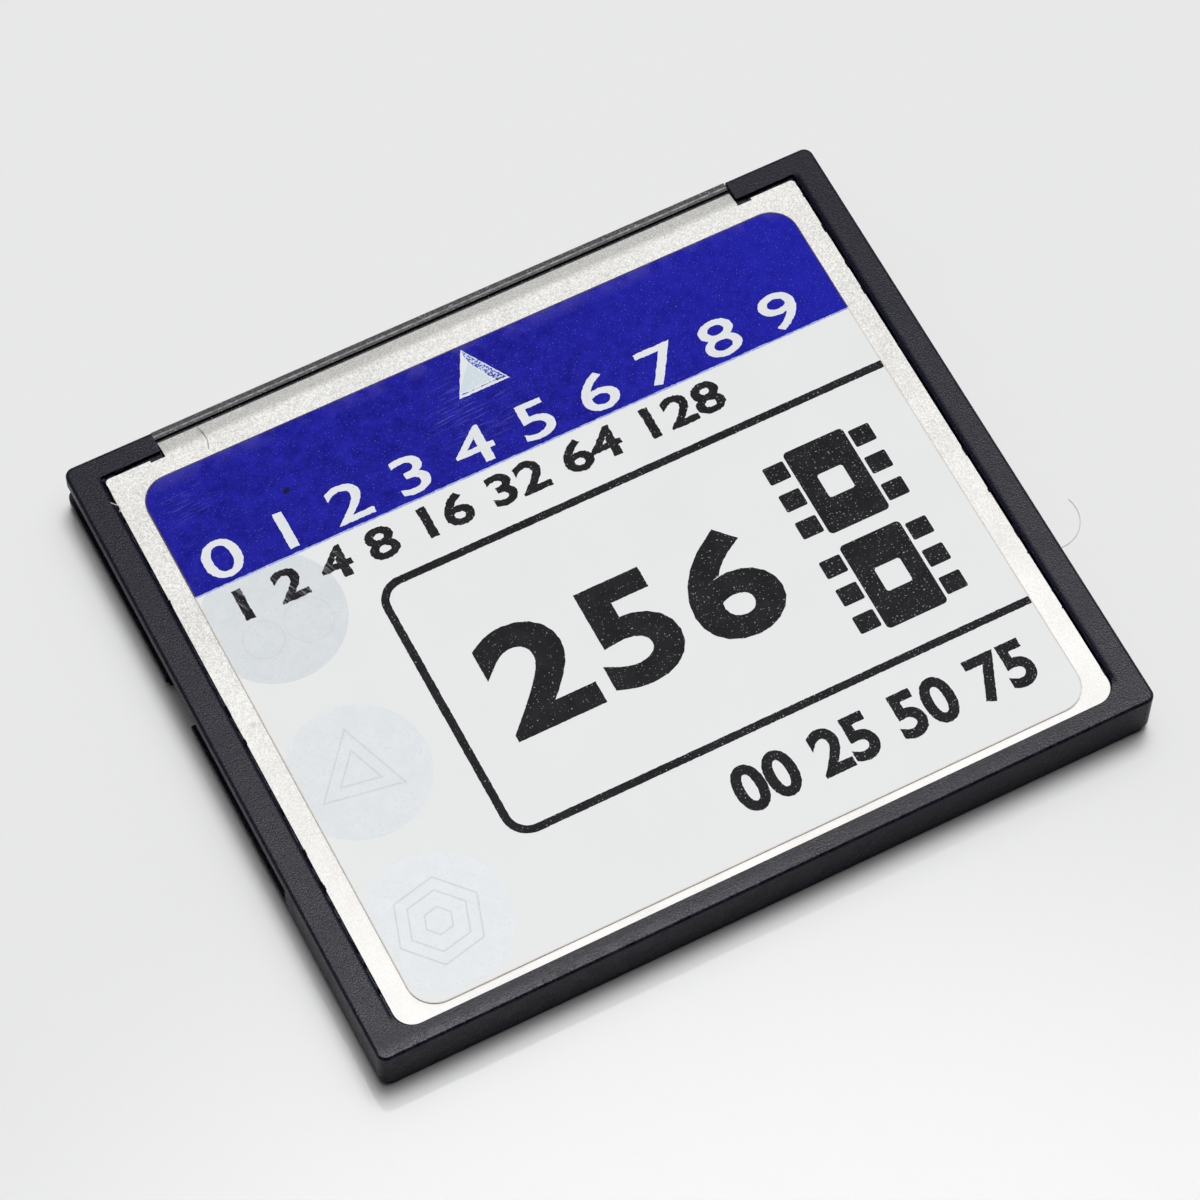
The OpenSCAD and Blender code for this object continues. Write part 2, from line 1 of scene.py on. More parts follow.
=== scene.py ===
"""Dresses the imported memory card: materials, printed label, mould flash, dirt, camera, table and light."""

import json
import math
import random

import bmesh
import bpy
from mathutils import Matrix, Vector
from mathutils.geometry import delaunay_2d_cdt


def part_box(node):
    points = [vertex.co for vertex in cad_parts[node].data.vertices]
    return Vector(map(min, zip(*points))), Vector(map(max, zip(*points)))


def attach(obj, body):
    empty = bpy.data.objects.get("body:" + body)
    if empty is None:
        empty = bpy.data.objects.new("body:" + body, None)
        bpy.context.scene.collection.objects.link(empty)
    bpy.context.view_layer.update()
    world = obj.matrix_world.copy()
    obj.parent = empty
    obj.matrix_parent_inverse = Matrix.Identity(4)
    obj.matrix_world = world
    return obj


MM = 0.001
DICE = random.Random(50)

# Camera, in millimetres: where it stands, what it aims at, how far it leans, and its lens
CAMERA_AT = (-58.94, -108.46, 235.79)
CAMERA_AIM = (-0.63, -0.81, 3.3)
CAMERA_LEAN = math.radians(1.2)
LENS = 158.14
SENSOR = 36.0

# Light: a lamp overhead with a faint glow round it, in a dim room that is dark on the camera's side.
# Each of the two has the angle where it is full, the angle where it ends, and a strength.
LAMP_TOWARDS = (0.165, 0.194, 1.0)
LAMP = (5.4, 12.9, 18.9)
GLOW = (15.4, 34.7, 1.75)
ROOM_LIGHT = 0.115
ROOM_SEEN = 0.83
# Where the room is dark, and the cosines of the angle to it between which the dark comes in
DARK_SIDE = (-0.45, -0.89, 0.0)
DARK_FADE = (0.05, 0.45)

# Half the table's width, in metres
TABLE_HALF = 3.0

# Heights of the printed layers above the label, in millimetres
SUNK = 0.002
DISC_TOP = 0.004
RIM_TOP = 0.007
BAND_TOP = 0.009
BLACK_TOP = 0.012
WHITE_TOP = 0.014
# Step from one layer up to a detail printed on it
LAYER = 0.002

# Printed fields of the label, in millimetres
CUT_EDGE = 0.06
LABEL_RADIUS = 1.5
BAND_BACK = 8.5
DISC_RADIUS = 3.7
DISC_CENTRES = [(-15.5, 5.7), (-15.56, -3.85), (-15.6, -12.8)]
# Tip of the arrow, and the left end, right end and place of its base
ARROW_TIP = (-0.35, 15.25)
ARROW_BASE = (-1.68, 1.18, 12.68)
FRAME_LEFT = -10.47
FRAME_FRONT = 4.97
FRAME_BACK = -10.75
FRAME_RADIUS = 1.4
FRAME_LINE = 0.43
CHIP_MARKS = [(13.1, -0.2), (13.1, -6.2)]
CHIP_HALF = 2.6
CHIP_PINS = 3
# Left, back, right and front of the rows of numbers
WHITE_ROW = (-17.4, 8.75, 16.3, 11.0)
SCALE_ROW = (-16.8, 6.1, 10.4, 8.0)
LARGE_NUMBER = (-7.8, -6.1, 7.9, 0.2)
LOWER_ROW = (0.3, -14.75, 16.9, -12.05)
# Depth to which the numbers are cast before their faces are taken
NUMBER_DEPTH = 0.5

# Dark, light and flecked colour of the discs, and how much paler each disc is
DISC_COLOURS = [(0.69, 0.725, 0.75), (0.73, 0.76, 0.78), (0.665, 0.705, 0.735)]
DISC_FADE = [0.0, 0.063, 0.105]

# Marks on the card's top, in millimetres: x, y and radius
RUST_SPOT = (-19.02, 0.81, 0.22)
BLACK_RUB = (-14.2, 7.2, 3.4)
BLUE_SCRATCHES = ((-16.6, 13.5, 1.6), (-1.2, 11.8, 3.0))
BLUE_FLECK = ((-11.9, 11.87, 0.2), (-11.77, 11.94, 0.2))

# Points along the hair on the cover and the fibre in the gap, in millimetres
HAIR = [(-14.28, 17.4), (-14.17, 17.1), (-14.1, 16.8),
        (-14.1, 16.45), (-14.17, 16.15), (-14.27, 15.9)]
FIBRE = [(-20.0, 15.3), (-19.86, 15.12), (-19.72, 14.98), (-19.7, 14.8), (-19.8, 14.6)]

# Gaps round the top cover and forms beside them, in millimetres
SIDE_GAP = 0.14
SHOULDER_GAP = 0.26
SHOULDER_Y = 16.62
TONGUE_X = 16.4
# Back and front of the painted highlight along the ridge at the back of the socket's bar
BAR_HIGHLIGHT = (17.84, 17.93)
# Sign of each side, and how far the rail's torn edge reaches there
TORN_REACH = ((-1.0, 0.18), (1.0, 0.36))

# Share of its gloss that the plastic loses on upright faces and on torn edges
UPRIGHT_DULL = 0.82
TORN_DULL = 0.9

# Gloss of the printed inks, apart from the blue one and the black one
INK_GLOSS = 0.06

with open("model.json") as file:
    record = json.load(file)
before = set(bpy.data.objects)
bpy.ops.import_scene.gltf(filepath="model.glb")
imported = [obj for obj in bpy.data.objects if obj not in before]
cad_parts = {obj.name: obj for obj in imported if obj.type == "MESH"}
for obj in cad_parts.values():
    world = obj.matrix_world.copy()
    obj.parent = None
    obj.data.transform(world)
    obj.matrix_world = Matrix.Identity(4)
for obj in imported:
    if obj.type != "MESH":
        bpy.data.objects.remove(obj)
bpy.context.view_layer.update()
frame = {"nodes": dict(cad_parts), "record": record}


def edges_of(node):
    """Left, right, back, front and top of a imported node, in millimetres."""
    low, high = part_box(node)
    return {
        "left": low.x / MM,
        "right": high.x / MM,
        "back": low.y / MM,
        "front": high.y / MM,
        "top": high.z / MM,
    }


LABEL = edges_of("label")
COVER = edges_of("top_cover")


# Helpers for the nodes of a material or of the world


def new_material(name):
    """Empty node material with one Principled shader."""
    material = bpy.data.materials.new(name)
    material.use_nodes = True
    return material


def shader_of(material):
    return material.node_tree.nodes["Principled BSDF"]


def add_node(material, kind, source=None):
    """New node of a kind, with its Vector fed from source."""
    node = material.node_tree.nodes.new(kind)
    if source is not None:
        material.node_tree.links.new(source, node.inputs["Vector"])
    return node


def place(material):
    """Position on the object, in metres."""
    return add_node(material, "ShaderNodeTexCoord").outputs["Object"]


def noise(material, source, grain_mm, detail=2.0, roughness=0.5):
    """Cloudy noise whose spots are about grain_mm across."""
    node = add_node(material, "ShaderNodeTexNoise", source)
    node.inputs["Scale"].default_value = 1.0 / (grain_mm * MM)
    node.inputs["Detail"].default_value = detail
    node.inputs["Roughness"].default_value = roughness
    return node.outputs["Fac"]


def streaks(material, source, angle, length_mm, width_mm):
    """Noise drawn out into streaks that run at an angle to the X axis."""
    turned = add_node(material, "ShaderNodeMapping", source)
    turned.vector_type = "TEXTURE"
    turned.inputs["Rotation"].default_value = (0.0, 0.0, math.radians(angle))
    turned.inputs["Scale"].default_value = (length_mm * MM, width_mm * MM, MM)
    node = add_node(material, "ShaderNodeTexNoise", turned.outputs["Vector"])
    node.inputs["Scale"].default_value = 1.0
    node.inputs["Detail"].default_value = 2.0
    return node.outputs["Fac"]


def ramp(material, value, low, high, to_low=0.0, to_high=1.0):
    """Value stretched from low..high to to_low..to_high, and clamped."""
    node = material.node_tree.nodes.new("ShaderNodeMapRange")
    node.inputs["From Min"].default_value = low
    node.inputs["From Max"].default_value = high
    node.inputs["To Min"].default_value = to_low
    node.inputs["To Max"].default_value = to_high
    material.node_tree.links.new(value, node.inputs["Value"])
    return node.outputs["Result"]


def blend_colors(material, share, first, second):
    """Mixes two colours; each is a colour or another node's output."""
    node = material.node_tree.nodes.new("ShaderNodeMix")
    node.data_type = "RGBA"
    material.node_tree.links.new(share, node.inputs[0])
    for socket, value in ((node.inputs[6], first), (node.inputs[7], second)):
        if isinstance(value, tuple):
            socket.default_value = (*value, 1.0)
        else:
            material.node_tree.links.new(value, socket)
    return node.outputs[2]


def calculate(material, operation, first, second=0.0):
    """One step of arithmetic on numbers or other nodes' outputs."""
    node = material.node_tree.nodes.new("ShaderNodeMath")
    node.operation = operation
    for socket, value in ((node.inputs[0], first), (node.inputs[1], second)):
        if isinstance(value, (int, float)):
            socket.default_value = value
        else:
            material.node_tree.links.new(value, socket)
    return node.outputs["Value"]


def both(material, first, second):
    """1 only where both shares are 1."""
    return calculate(material, "MULTIPLY", first, second)


def axis(material, source, name):
    """One axis of a position or a direction."""
    return add_node(material, "ShaderNodeSeparateXYZ", source).outputs[name]


def along(material, source, name, start, end):
    """0 before start and 1 after end, both in millimetres along an axis."""
    return ramp(material, axis(material, source, name), start * MM, end * MM)


def facing_up(material):
    """1 where the surface faces straight up, 0 where it is upright."""
    node = material.node_tree.nodes.new("ShaderNodeNewGeometry")
    return axis(material, node.outputs["True Normal"], "Z")


def close_to(material, source, x, y, radius):
    """1 at a point of the card's top and 0 beyond a radius from it, in millimetres."""
    node = add_node(material, "ShaderNodeVectorMath", source)
    node.operation = "DISTANCE"
    node.inputs[1].default_value = (x * MM, y * MM, LABEL["top"] * MM)
    return ramp(material, node.outputs["Value"], 0.4 * radius * MM, radius * MM, 1.0, 0.0)


def close_to_either(material, source, spots):
    """1 at the two points of spots and 0 beyond their radii."""
    first, second = [close_to(material, source, *spot) for spot in spots]
    return calculate(material, "MAXIMUM", first, second)


def edge_wear_and_highlight(material, width_mm):
    """1 along convex and concave edges, 0 on flat faces."""
    tree = material.node_tree
    soft = tree.nodes.new("ShaderNodeBevel")
    soft.samples = 4
    soft.inputs["Radius"].default_value = width_mm * MM
    flat = tree.nodes.new("ShaderNodeNewGeometry")
    match = tree.nodes.new("ShaderNodeVectorMath")
    match.operation = "DOT_PRODUCT"
    tree.links.new(soft.outputs["Normal"], match.inputs[0])
    tree.links.new(flat.outputs["Normal"], match.inputs[1])
    return ramp(material, match.outputs["Value"], 0.98, 0.8)


def bump(material, height, depth_mm, strength=1.0):
    """Adds relief of depth_mm to the shader's normal."""
    tree = material.node_tree
    node = tree.nodes.new("ShaderNodeBump")
    node.inputs["Strength"].default_value = strength
    node.inputs["Distance"].default_value = depth_mm * MM
    tree.links.new(height, node.inputs["Height"])
    tree.links.new(node.outputs["Normal"], shader_of(material).inputs["Normal"])


def feed(material, output, socket):
    material.node_tree.links.new(output, shader_of(material).inputs[socket])


# Materials


def inner_edge(material, where):
    """1 along the rounded, torn inner edges of the rails, 0 elsewhere."""
    rail_x = COVER["right"] + SIDE_GAP
    edges = 0.0
    for side, reach in TORN_REACH:
        across = calculate(material, "MULTIPLY", axis(material, where, "X"), side)
        outside = ramp(material, across, (rail_x - 0.06) * MM, (rail_x - 0.05) * MM)
        torn = ramp(material, across, (rail_x + 0.4 * reach) * MM, (rail_x + reach) * MM, 1.0, 0.0)
        edges = calculate(material, "ADD", both(material, outside, torn), edges)
    length = both(material, along(material, where, "Y", COVER["back"] + 0.5, COVER["back"] + 1.0),
                  ramp(material, axis(material, where, "Y"), 16.6 * MM, 17.0 * MM, 1.0, 0.0))
    return both(material, edges, length)


def plastic_gloss(material, where, gloss, scuffs):
    """Reflection of plastic: less on upright and torn faces, more at the near end and in scuffs."""
    upright = calculate(material, "SUBTRACT", 1.0, facing_up(material))
    near = ramp(material, axis(material, where, "Y"), -17.0 * MM, 15.0 * MM, 1.3, 0.78)
    polished = ramp(material, axis(material, where, "Y"), -17.9 * MM, -17.5 * MM, 0.5, 0.0)
    level = calculate(material, "ADD", near, both(material, scuffs, polished))
    torn = inner_edge(material, where)
    for dull in (both(material, upright, UPRIGHT_DULL), both(material, torn, TORN_DULL)):
        level = both(material, level, calculate(material, "SUBTRACT", 1.0, dull))
    return both(material, level, gloss)


def bar_highlight(material, where):
    """1 in broken patches of painted highlight along the ridge at the back of the socket's bar."""
    back, front = BAR_HIGHLIGHT
    blur = 0.02
    behind = along(material, where, "Y", back - blur, back + blur)
    beyond = along(material, where, "Y", front - blur, front + blur)
    line = both(material, behind, calculate(material, "SUBTRACT", 1.0, beyond))
    across = calculate(material, "ABSOLUTE", axis(material, where, "X"))
    between_blocks = ramp(material, across, TONGUE_X * MM, (TONGUE_X + 0.1) * MM, 1.0, 0.0)
    patches = ramp(material, noise(material, where, 0.25, 2.0), 0.35, 0.6, 0.35, 1.0)
    return both(material, both(material, line, between_blocks), patches)


def moulded_plastic(name, dark, light, gloss, roughness, wear_and_highlight):
    """Black plastic with fine spark texture, faint clouds, light specks, light edges of rubbed wear and
    painted highlight, and a painted highlight along the ridge of the socket's bar.
    """
    material = new_material(name)
    where = place(material)
    clouds = ramp(material, noise(material, where, 1.3, 4.0, 0.6), 0.35, 0.65)
    grain = noise(material, where, 0.1, 2.0, 0.6)
    base = blend_colors(material, clouds, dark, light)
    dusty = ramp(material, grain, 0.52, 0.72, 0.0, 0.35)
    specks = ramp(material, noise(material, where, 0.11, 1.0), 0.68, 0.74, 0.0, 0.9)
    patches = ramp(material, noise(material, where, 0.8, 3.0), 0.5, 0.75)
    # Light edge colour: rubbed wear, and on the socket a painted highlight
    rubbed = both(material, edge_wear_and_highlight(material, 0.1), patches)
    corner = ramp(material, axis(material, where, "X"), -20.0 * MM, 6.0 * MM, 3.0, 0.6)
    scuffs = both(material, clouds, corner)
    marked = calculate(material, "MAXIMUM", specks, both(material, rubbed, 0.5))
    marked = calculate(material, "MAXIMUM", marked, dusty)
    # Painted highlight along the ridge at the back of the socket's bar, in the light edge colour
    marked = calculate(material, "MAXIMUM", marked, bar_highlight(material, where))
    feed(material, blend_colors(material, marked, base, wear_and_highlight), "Base Color")
    feed(material, plastic_gloss(material, where, gloss, scuffs), "Specular IOR Level")
    feed(material, ramp(material, clouds, 0.0, 1.0, roughness, roughness + 0.08), "Roughness")
    bump(material, grain, 0.025, 1.0)
    return material


def blasted_steel():
    """Bright steel with the fine pits of blasting, made paler and smoother away from the socket as painted
    highlight, and darkened at cut edges as painted shade.
    """
    material = new_material("blasted_steel")
    shader_of(material).inputs["Metallic"].default_value = 1.0
    where = place(material)
    pits = noise(material, where, 0.08, 2.0, 0.6)
    clouds = ramp(material, noise(material, where, 3.0, 2.0), 0.3, 0.7)
    raised = ramp(material, pits, 0.34, 0.66)
    grain_and_highlight = blend_colors(material, raised, (0.335, 0.333, 0.322), (0.52, 0.515, 0.5))
    # Painted highlight: paler, smoother steel towards the near end, fading out towards the socket
    near = ramp(material, axis(material, where, "Y"), -15.0 * MM, 6.0 * MM, 0.8, 0.0)
    grain_and_highlight = blend_colors(material, near, grain_and_highlight, (0.515, 0.51, 0.5))
    rust = close_to(material, where, *RUST_SPOT)
    stained = blend_colors(material, both(material, rust, 0.4), grain_and_highlight, (0.25, 0.2, 0.16))
    # Painted shade of the gaps: the upright cut faces are darkened to a purple-brown
    side_faces = ramp(material, facing_up(material), 0.3, 0.7)
    feed(material, blend_colors(material, side_faces, (0.2, 0.17, 0.17), stained), "Base Color")
    feed(material, ramp(material, clouds, 0.0, 1.0, 0.6, 0.625), "Roughness")
    bump(material, pits, 0.016, 0.8)
    return material


def label_film():
    """Off-white printed film with a cream cut edge."""
    material = new_material("label_film")
    shader_of(material).inputs["Specular IOR Level"].default_value = 0.1
    where = place(material)
    clouds = ramp(material, noise(material, where, 4.0, 3.0), 0.3, 0.7)
    base = blend_colors(material, clouds, (0.8, 0.812, 0.814), (0.82, 0.828, 0.828))
    side_faces = ramp(material, facing_up(material), 0.3, 0.7)
    feed(material, blend_colors(material, side_faces, (0.74, 0.68, 0.58), base), "Base Color")
    feed(material, ramp(material, clouds, 0.0, 1.0, 0.3, 0.38), "Roughness")
    bump(material, noise(material, where, 0.3, 2.0), 0.003, 0.3)
    return material


def ink(name, color, other, speck, speck_from, grain_mm=0.1):
    """Screen ink with slight clouds and small specks where the film shows through."""
    material = new_material(name)
    shader_of(material).inputs["Specular IOR Level"].default_value = INK_GLOSS
    where = place(material)
    clouds = ramp(material, noise(material, where, 0.9, 4.0, 0.6), 0.35, 0.65)
    base = blend_colors(material, clouds, color, other)
    dots = noise(material, where, grain_mm, 1.0)
    found = ramp(material, dots, speck_from, speck_from + 0.05)
    feed(material, blend_colors(material, found, base, speck), "Base Color")
    feed(material, ramp(material, clouds, 0.0, 1.0, 0.3, 0.4), "Roughness")
    bump(material, dots, 0.003, 0.4)
    return material


def blue_ink():
    """Deep blue ink: mottled, specked, scratched in places and hazy along its front edge."""
    material = new_material("blue_ink")
    shader_of(material).inputs["Specular IOR Level"].default_value = 0.02
    where = place(material)
    mottle = ramp(material, noise(material, where, 0.6, 4.0, 0.65), 0.32, 0.68)
    base = blend_colors(material, mottle, (0.0055, 0.005, 0.235), (0.016, 0.0165, 0.385))
    front = both(material, along(material, where, "Y", 14.6, 15.5),
                 ramp(material, noise(material, where, 1.4, 2.0), 0.4, 0.6))
    right = both(material, along(material, where, "X", 2.0, 19.0), 0.5)
    base = blend_colors(material, right, base, (0.014, 0.016, 0.45))
    hazy = blend_colors(material, both(material, front, 0.5), base, (0.09, 0.075, 0.4))
    rubbed = close_to_either(material, where, BLUE_SCRATCHES)
    lines = ramp(material, streaks(material, where, 3.0, 1.6, 0.05), 0.6, 0.68, 0.0, 0.55)
    scratched = blend_colors(material, both(material, rubbed, lines), hazy, (0.16, 0.15, 0.5))
    dots = noise(material, where, 0.085, 2.0)
    light = ramp(material, dots, 0.64, 0.75, 0.0, 0.75)
    dark = ramp(material, dots, 0.38, 0.28, 0.0, 0.7)
    specked = blend_colors(material, light, scratched, (0.16, 0.19, 0.6))
    flecked = blend_colors(material, dark, specked, (0.01, 0.008, 0.1))
    fleck = close_to_either(material, where, BLUE_FLECK)
    feed(material, blend_colors(material, fleck, flecked, (0.01, 0.008, 0.03)), "Base Color")
    feed(material, ramp(material, mottle, 0.0, 1.0, 0.3, 0.4), "Roughness")
    bump(material, dots, 0.003, 0.4)
    return material


def black_ink():
    """Black ink with white pinholes, more of them at the right, and rubbed off at the far left."""
    material = new_material("black_ink")
    shader_of(material).inputs["Specular IOR Level"].default_value = 0.025
    where = place(material)
    clouds = ramp(material, noise(material, where, 1.1, 4.0, 0.6), 0.38, 0.66)
    base = blend_colors(material, clouds, (0.0095, 0.0093, 0.0115), (0.019, 0.0185, 0.022))
    dots = noise(material, where, 0.1, 1.0)
    more = ramp(material, axis(material, where, "X"), -4.0 * MM, 13.0 * MM, 0.0, 0.025)
    holes = ramp(material, calculate(material, "ADD", dots, more), 0.69, 0.77)
    holed = blend_colors(material, holes, base, (0.42, 0.43, 0.44))
    zone = close_to(material, where, *BLACK_RUB)
    lines = ramp(material, streaks(material, where, -67.0, 1.4, 0.1), 0.48, 0.62)
    patchy = both(material, lines, ramp(material, noise(material, where, 1.2, 2.0), 0.42, 0.58))
    rubbed = both(material, both(material, zone, patchy), 0.55)
    feed(material, blend_colors(material, rubbed, holed, (0.42, 0.44, 0.46)), "Base Color")
    feed(material, ramp(material, clouds, 0.0, 1.0, 0.32, 0.4), "Roughness")
    bump(material, dots, 0.003, 0.4)
    return material


def metal(name, dark, light, roughness):
    """Plated or tinned metal with uneven tone."""
    material = new_material(name)
    shader_of(material).inputs["Metallic"].default_value = 1.0
    where = place(material)
    clouds = ramp(material, noise(material, where, 0.4, 3.0), 0.3, 0.7)
    feed(material, blend_colors(material, clouds, dark, light), "Base Color")
    feed(material, ramp(material, clouds, 0.0, 1.0, roughness, roughness + 0.12), "Roughness")
    bump(material, noise(material, where, 0.05, 2.0), 0.004, 0.4)
    return material


def mineral(name, dark, light, roughness, grain_mm):
    """Ceramic, epoxy or laminate with a fine grain."""
    material = new_material(name)
    shader_of(material).inputs["Specular IOR Level"].default_value = 0.35
    where = place(material)
    clouds = ramp(material, noise(material, where, grain_mm * 8, 3.0), 0.3, 0.7)
    feed(material, blend_colors(material, clouds, dark, light), "Base Color")
    feed(material, ramp(material, clouds, 0.0, 1.0, roughness, roughness + 0.12), "Roughness")
    bump(material, noise(material, where, grain_mm, 2.0), 0.008, 0.4)
    return material


def shell_plastics():
    """The three black plastics of the shells and the socket."""
    return {
        "upper_plastic": moulded_plastic(
            "upper_plastic", (0.002, 0.002, 0.0096), (0.0042, 0.0042, 0.0134),
            gloss=0.125, roughness=0.23, wear_and_highlight=(0.05, 0.05, 0.055)),
        "lower_plastic": moulded_plastic(
            "lower_plastic", (0.0015, 0.0015, 0.01), (0.0032, 0.0032, 0.0128),
            gloss=0.17, roughness=0.25, wear_and_highlight=(0.03, 0.03, 0.035)),
        # The socket's pale edge colour is painted highlight along its edges and ridge as well as wear
        "socket_plastic": moulded_plastic(
            "socket_plastic", (0.008, 0.007, 0.011), (0.02, 0.018, 0.024),
            gloss=0.33, roughness=0.34, wear_and_highlight=(0.3, 0.3, 0.3)),
    }


def hidden_minerals():
    """Board, chips and small parts inside: dark and light colour, roughness and grain of each."""
    looks = {
        "board_laminate": ((0.015, 0.09, 0.035), (0.025, 0.12, 0.05), 0.3, 0.12),
        "chip_plastic": ((0.015, 0.015, 0.016), (0.025, 0.025, 0.026), 0.5, 0.06),
        "capacitor_ceramic": ((0.3, 0.2, 0.11), (0.4, 0.28, 0.17), 0.45, 0.05),
        "resistor_ceramic": ((0.012, 0.012, 0.015), (0.02, 0.02, 0.024), 0.35, 0.05),
        "crystal_ceramic": ((0.07, 0.055, 0.045), (0.1, 0.08, 0.065), 0.45, 0.05),
    }
    return {name: mineral(name, *look) for name, look in looks.items()}


def dress_nodes():
    """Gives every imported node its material."""
    slots = {s["node"]: s["material_slot"] for s in frame["record"]["subparts"]}
    looks = shell_plastics()
    looks.update({
        "cover_steel": blasted_steel(),
        "label_film": label_film(),
        "contact_metal": metal("contact_metal", (0.72, 0.5, 0.2), (0.82, 0.62, 0.3), 0.22),
        "pad_metal": metal("pad_metal", (0.75, 0.55, 0.25), (0.85, 0.66, 0.34), 0.25),
        "lead_metal": metal("lead_metal", (0.6, 0.6, 0.58), (0.72, 0.72, 0.7), 0.3),
    })
    looks.update(hidden_minerals())
    for name, node in frame["nodes"].items():
        node.data.materials.clear()
        node.data.materials.append(looks[slots[name]])


# Outlines, in millimetres


def arc(x, y, radius, start, end, steps=10):
    """Points on an arc, from start to end in degrees."""
    points = []
    for i in range(steps + 1):
        angle = math.radians(start + (end - start) * i / steps)
        points.append((x + radius * math.cos(angle), y + radius * math.sin(angle)))
    return points


def circle(x, y, radius, steps=64):
    return arc(x, y, radius, 0, 360 - 360 / steps, steps - 1)


def polygon(x, y, radius, corners, turn):
    """Regular polygon with its first corner at turn degrees."""
    return arc(x, y, radius, turn, turn + 360 - 360 / corners, corners - 1)


def rectangle(left, back, right, front):
    return [(left, back), (right, back), (right, front), (left, front)]


def rounded_rectangle(left, back, right, front, radius):
    return (arc(left + radius, back + radius, radius, 180, 270, 6)
            + arc(right - radius, back + radius, radius, 270, 360, 6)
            + arc(right - radius, front - radius, radius, 0, 90, 6)
            + arc(left + radius, front - radius, radius, 90, 180, 6))


def strip(points, width):
    """Outline of a thin line through points."""
    sides = ([], [])
    for i, (x, y) in enumerate(points):
        x0, y0 = points[max(i - 1, 0)]
        x1, y1 = points[min(i + 1, len(points) - 1)]
        length = math.hypot(x1 - x0, y1 - y0)
        across = (-(y1 - y0) / length * width / 2, (x1 - x0) / length * width / 2)
        sides[0].append((x + across[0], y + across[1]))
        sides[1].append((x - across[0], y - across[1]))
    return sides[0] + sides[1][::-1]


def roughened(loop, amount, step=0.12):
    """Loop with evenly spread points, each moved a little at random, like the edge of screen ink."""
    kept = [loop[0]]
    for point in loop[1:]:
        if math.dist(point, kept[-1]) > step / 3 and math.dist(point, kept[0]) > step / 3:
            kept.append(point)
    points = []
    for (x0, y0), (x1, y1) in zip(kept, kept[1:] + kept[:1]):
        pieces = max(1, round(math.hypot(x1 - x0, y1 - y0) / step))
        for i in range(pieces):
            x = x0 + (x1 - x0) * i / pieces
            y = y0 + (y1 - y0) * i / pieces
            points.append((x + DICE.uniform(-amount, amount), y + DICE.uniform(-amount, amount)))
    return points


def torn_edge(start, end, most):
    """Steps along a torn edge: pairs of place along it and reach across it."""
    steps = []
    at = start
    while at < end:
        reach = DICE.uniform(0.5, 1.0) * most if DICE.random() < 0.25 else DICE.uniform(0.0, 0.3) * most
        on = min(at + DICE.uniform(0.08, 0.6), end)
        steps += [(at, reach), (on, reach)]
        at = on
    return steps


def inside(point, loop):
    """Whether a point lies inside a loop."""
    x, y = point
    hits = 0
    for (x0, y0), (x1, y1) in zip(loop, loop[1:] + loop[:1]):
        if (y0 > y) != (y1 > y) and x < x0 + (y - y0) / (y1 - y0) * (x1 - x0):
            hits += 1
    return hits % 2 == 1


# Pieces


def fill(shape, loops, height):
    """Adds the flat faces between an outer loop and its holes to a mesh."""
    spots = []
    edges = []
    for loop in loops:
        first = len(spots)
        spots += [Vector(point) for point in loop]
        edges += [(first + i, first + (i + 1) % len(loop)) for i in range(len(loop))]
    spots, edges, faces = delaunay_2d_cdt(spots, edges, [], 0, 1e-6)[:3]
    corners = {}
    for face in faces:
        middle = sum((spots[i] for i in face), Vector((0.0, 0.0))) / len(face)
        if sum(inside(middle, loop) for loop in loops) % 2 == 1:
            for i in face:
                if i not in corners:
                    corners[i] = shape.verts.new((*spots[i], height))
            shape.faces.new([corners[i] for i in face])


def flat_mesh(name, groups, low, high):
    """Closed plate from low to high. Each group is an outer loop followed by its holes."""
    shape = bmesh.new()
    for loops in groups:
        fill(shape, loops, low)
    raised = bmesh.ops.extrude_face_region(shape, geom=list(shape.faces))
    moved = [v for v in raised["geom"] if isinstance(v, bmesh.types.BMVert)]
    bmesh.ops.translate(shape, verts=moved, vec=(0, 0, high - low))
    bmesh.ops.scale(shape, verts=list(shape.verts), vec=(MM, MM, MM))
    bmesh.ops.recalc_face_normals(shape, faces=list(shape.faces))
    mesh = bpy.data.meshes.new(name)
    shape.to_mesh(mesh)
    shape.free()
    return mesh


def link_piece(name, mesh, material):
    """Puts a mesh with its material into the scene."""
    piece = bpy.data.objects.new(name, mesh)
    bpy.context.scene.collection.objects.link(piece)
    piece.data.materials.append(material)
    return piece


def card_piece(name, groups, low, high, material):
    """Plate that rides with the card, with the material it is given."""
    piece = link_piece(name, flat_mesh(name, groups, low, high), material)
    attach(piece, "root")


def print_piece(name, groups, top, material):
    """Printed shape on the label, as thick as its ink."""
    card_piece(name, groups, LABEL["top"] - SUNK, LABEL["top"] + top, material)


def number_mesh(text, weight, spacing):
    """Flat faces of plain numbers in the built-in font, without the sides and backs of the digits."""
    letters = bpy.data.curves.new("numbers", "FONT")
    letters.body = text
    letters.offset = weight
    letters.extrude = NUMBER_DEPTH
    letters.space_character = spacing
    letters.resolution_u = 5
    holder = bpy.data.objects.new("numbers", letters)
    bpy.context.scene.collection.objects.link(holder)
    bpy.context.view_layer.update()
    mesh = bpy.data.meshes.new_from_object(holder.evaluated_get(bpy.context.evaluated_depsgraph_get()))
    bpy.data.objects.remove(holder)
    shape = bmesh.new()
    shape.from_mesh(mesh)
    bpy.data.meshes.remove(mesh)
    bmesh.ops.remove_doubles(shape, verts=list(shape.verts), dist=0.0005)
    sides = [face for face in shape.faces if face.calc_center_median().z < 0.98 * NUMBER_DEPTH]
    bmesh.ops.delete(shape, geom=sides, context="FACES")
    return shape


